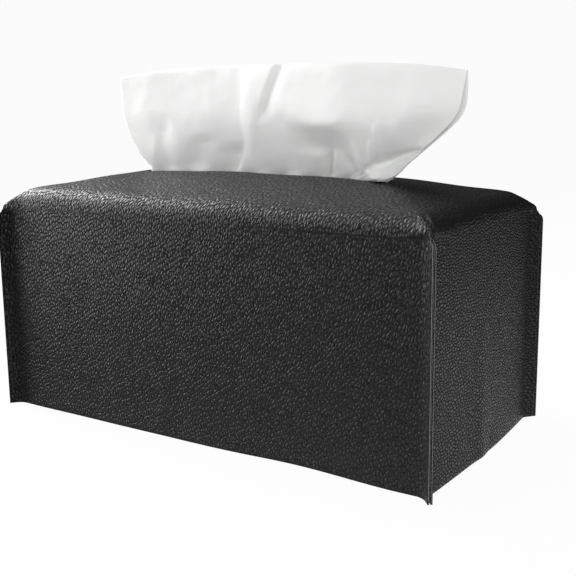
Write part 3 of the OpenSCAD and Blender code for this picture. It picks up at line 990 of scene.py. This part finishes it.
def tissue_point(u, v):
    """Place on the tissue: u from left to right, v from the front foot over the fold to the rear."""
    h = top_rise - (top_rise + tuck) * abs(v) ** row_power
    left, right = tissue_ends(h)
    x = left + (right - left) * u
    edge = overhang_rise + overhang_step * step(x, *overhang_step_zone)
    closing = math.sqrt(1 - math.exp(-max(top_rise - h, 0) / fold_round))
    kept = 1 - billow_lost_at_ends * step(abs(2 * u - 1), *end_share_zone)
    kept *= 1 - billow_lost_at_fold * ease((h - edge) / (top_rise - edge))
    folds = fold_depth(x, h)
    shared = waves(u, x, h)
    swell = (front_belly(x, h, edge) * kept + leaf_gap / 2) * closing
    tip = hump(x, tip_place[0], tip_size[0]) * hump(h, tip_place[1], tip_size[1])
    y = shared + folds - swell - tip_reach * tip
    if v > 0:
        swell = (rear_belly(u, h) * kept + leaf_gap / 2) * closing
        joined = step(h, joined_rise, top_rise - joined_rise)
        rear_folds = folds * joined - fold_depth(-x, h) * (1 - joined)
        y = max(y + leaf_gap * closing, shared + rear_folds + swell)
    z = skin_high.z + h - end_sag * (2 * u - 1) ** 4 * ease(h / top_rise) - tip_drop * tip
    if h > -lip_depth and slot_distance(x, y) > 0:
        z = max(z, top_height(x, y, 0) + lip_gap)
    return Vector((x, y, z))


bm = bmesh.new()
grid = bmesh.ops.create_grid(bm, x_segments=tissue_columns, y_segments=2 * tissue_leaf_rows, size=1)
for vert in grid["verts"]:
    vert.co = tissue_point((vert.co.x + 1) / 2, vert.co.y)
bmesh.ops.recalc_face_normals(bm, faces=bm.faces)
bmesh.ops.solidify(bm, geom=bm.faces[:], thickness=tissue_t)
bmesh.ops.recalc_face_normals(bm, faces=bm.faces)
pulp_colour = (0.9, 0.905, 0.89, 1)
thin_pulp_colour = (0.86, 0.87, 0.85, 1)
tissue_paper = Finish(
    "white_tissue",
    Roughness=0.9,
    Specular_IOR_Level=0.15,
    Subsurface_Weight=0.35,
    Subsurface_Radius=(1, 1, 1),
    Subsurface_Scale=0.001,
)
crepe = tissue_paper.noise(tissue_paper.place(), 1500.0, 3.0)
pulp = tissue_paper.noise(tissue_paper.place(), 120.0, 4.0)
tissue_paper.set(
    tissue_paper.shader,
    {
        "Base Color": tissue_paper.mix(pulp, thin_pulp_colour, pulp_colour),
        "Normal": tissue_paper.bump(crepe + pulp, 0.00008),
    },
)
tissue = piece("tissue", bm, tissue_paper.material)
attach(tissue, "tissue")
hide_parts("tissue_sheet")

# Table: a wide white round top with a curved rim, on which the cover stands. The camera sees it
# white with the cover's soft shadow. Glossy and transmission rays see it glow white near a point
# behind the cover's right end, fading to black half a metre out: a painted reflection. From below it
# is clear, so that the base of the cover can be looked at.
table_radius = 2.2
table_bend = 0.5
table_rim = 0.75
table_hub = 0.001
rim_rows = 8
shown_white = 0.96
painted_reflection_middle = (0.17, 0.2, 0)
painted_reflection_reach = (0.6, 0.1)
bm = bmesh.new()
profile = [bm.verts.new((table_hub, 0, 0))]
for i in range(rim_rows + 1):
    bend = math.pi / 2 * i / rim_rows
    reach = table_radius - table_bend + table_bend * math.sin(bend)
    profile.append(bm.verts.new((reach, 0, table_bend * (1 - math.cos(bend)))))
profile.append(bm.verts.new((table_radius, 0, table_rim)))
edges = [bm.edges.new(pair) for pair in zip(profile, profile[1:])]
bmesh.ops.spin(bm, geom=profile + edges, axis=(0, 0, 1), steps=96, angle=2 * math.pi, use_merge=True)
bmesh.ops.remove_doubles(bm, verts=bm.verts, dist=1e-5)
bmesh.ops.holes_fill(bm, edges=[edge for edge in bm.edges if edge.calc_length() < table_hub])
bmesh.ops.recalc_face_normals(bm, faces=bm.faces)
if min(bm.faces, key=lambda each: each.calc_center_median().length).normal.z < 0:
    bmesh.ops.reverse_faces(bm, faces=bm.faces)
table = Finish("white_table", Base_Color=(0.8, 0.8, 0.8, 1), Roughness=0.9)
rays = table.node("ShaderNodeLightPath")
# Glossy and transmission rays see the table glow white near this middle and black far from it: a painted
# reflection, not the lit table.
away = table.vector("DISTANCE", table.place(), painted_reflection_middle, output="Value")
near = table.ramp(Value(table, away), *painted_reflection_reach)
mirrored = table.value(rays, "Is Glossy Ray") + table.value(rays, "Is Transmission Ray")
white = table.node("ShaderNodeEmission", {}, {"Color": (1, 1, 1, 1), "Strength": 1.0}).outputs[0]
dark = table.node("ShaderNodeEmission", {}, {"Color": (0, 0, 0, 1)}).outputs[0]
lit = table.blend(table.value(rays, "Is Camera Ray") * shown_white, table.shader.outputs[0], white)
lit = table.blend(mirrored, lit, table.blend(near, dark, white))
below = table.node("ShaderNodeNewGeometry").outputs["Backfacing"]
clear = table.node("ShaderNodeBsdfTransparent").outputs[0]
table.set(table.output, {"Surface": table.blend(below, lit, clear)})
piece("table", bm, table.material)

# Studio: a dim room that the camera sees as white, and six large soft lamps. The three on the left
# graze the front wall, so that its pebbles catch the light.
world = bpy.data.worlds.new("studio")
bpy.context.scene.world = world
world.use_nodes = True
room = world.node_tree.nodes["Background"]
room.inputs["Color"].default_value = (0.9, 0.95, 1, 1)
room.inputs["Strength"].default_value = 0.05
backdrop = world.node_tree.nodes.new("ShaderNodeBackground")
backdrop.inputs["Color"].default_value = (1, 1, 1, 1)
world_rays = world.node_tree.nodes.new("ShaderNodeLightPath")
shown = world.node_tree.nodes.new("ShaderNodeMixShader")
world.node_tree.links.new(world_rays.outputs["Is Camera Ray"], shown.inputs[0])
world.node_tree.links.new(room.outputs[0], shown.inputs[1])
world.node_tree.links.new(backdrop.outputs[0], shown.inputs[2])
world.node_tree.links.new(shown.outputs[0], world.node_tree.nodes["World Output"].inputs["Surface"])

lamp_aim = Vector((0, 0, 0.08))
for name, place, size, power in (
    ("softbox_left", (-0.85, 0.1, 0.5), 0.5, 11.5),
    ("softbox_low_left", (-0.42, -0.2, 0.05), 0.25, 1.1),
    ("softbox_far_left", (-0.9, -0.35, 0.22), 0.3, 1.8),
    ("softbox_above", (0.0, 0.0, 1.1), 0.6, 4.1),
    ("softbox_front_right", (0.6, -0.7, 0.4), 0.5, 3.9),
    ("softbox_right", (0.75, -0.35, 0.75), 0.5, 1.5),
):
    lamp_data = bpy.data.lights.new(name, "AREA")
    lamp_data.size = size
    lamp_data.energy = power
    lamp = bpy.data.objects.new(name, lamp_data)
    bpy.context.collection.objects.link(lamp)
    aim = lamp_aim - Vector(place)
    lamp.matrix_world = Matrix.Translation(place) @ aim.to_track_quat("-Z", "Y").to_matrix().to_4x4()

bpy.context.scene.view_settings.view_transform = "Standard"
